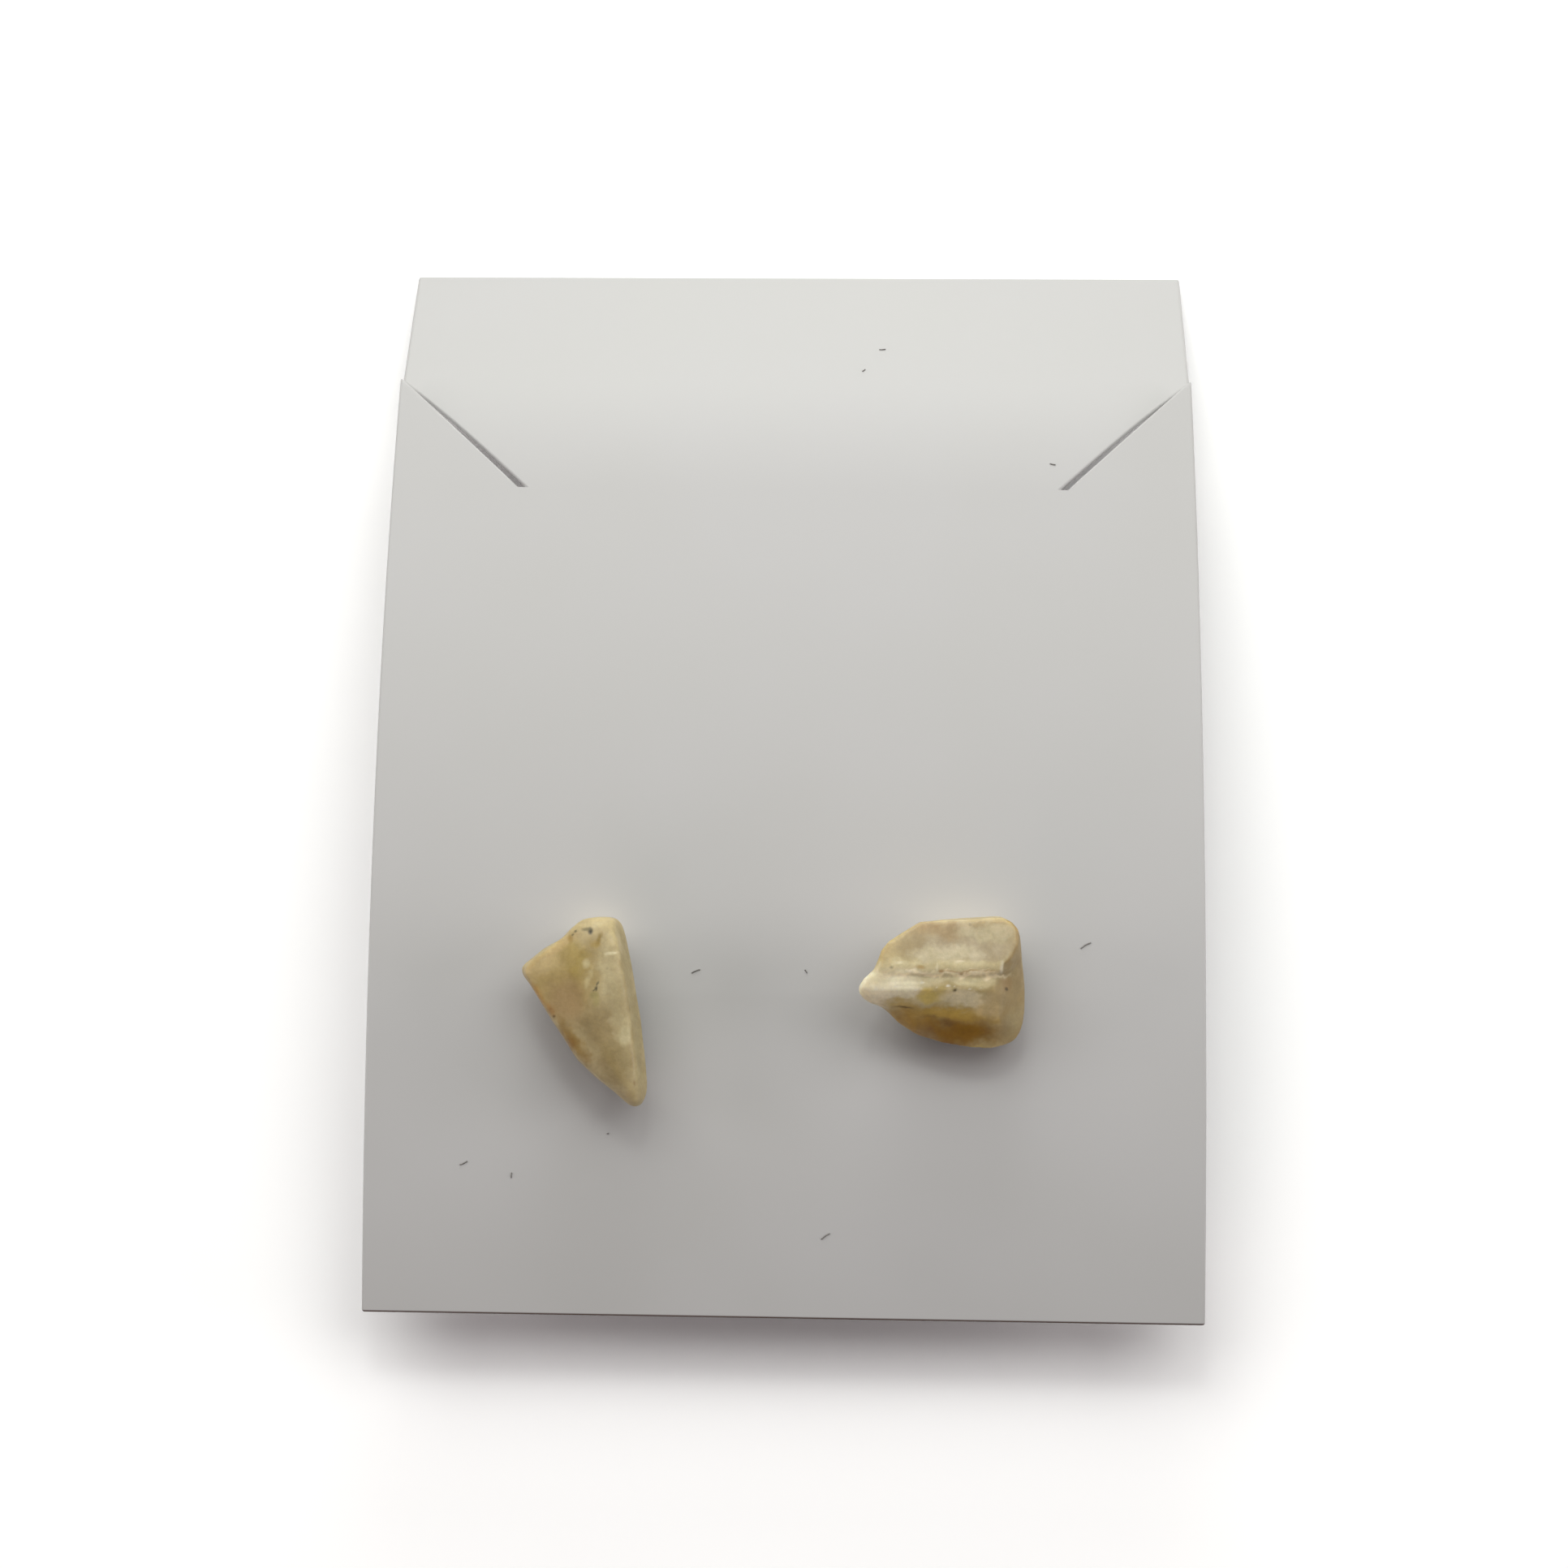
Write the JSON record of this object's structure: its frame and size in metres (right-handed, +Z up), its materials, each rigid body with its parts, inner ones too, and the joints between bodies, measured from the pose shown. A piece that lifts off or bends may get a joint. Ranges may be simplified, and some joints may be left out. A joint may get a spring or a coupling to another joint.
{
  "type": "pair of stone stud earrings on a display card",
  "caption": "Raw moonstone chip stud earrings, a matching pair, held by their posts and soft backs on a bowed white display card with slanted chain slits.",
  "frame": {"origin": "centre of the bounding box's bottom, on the surface that the card and its studs rest on", "axes": "+X across the card to the right, +Y up the card towards its slits, +Z up off the surface"},
  "size_m": [0.05, 0.068, 0.0153],
  "materials": {
    "card_paper": "smooth coated white card with a soft sheen",
    "cream_moonstone": "tumbled, softly glossy and slightly translucent",
    "honey_moonstone": "tumbled, with glossy cleaved faces, slightly translucent",
    "post_steel": "polished surgical steel",
    "silicone": "frosted clear silicone"
  },
  "bodies": {
    "root": {"card": "card_paper", "left_stone": "cream_moonstone", "right_stone": "honey_moonstone", "left_post": "post_steel", "right_post": "post_steel", "left_back": "silicone", "right_back": "silicone"}
  },
  "joints": []
}
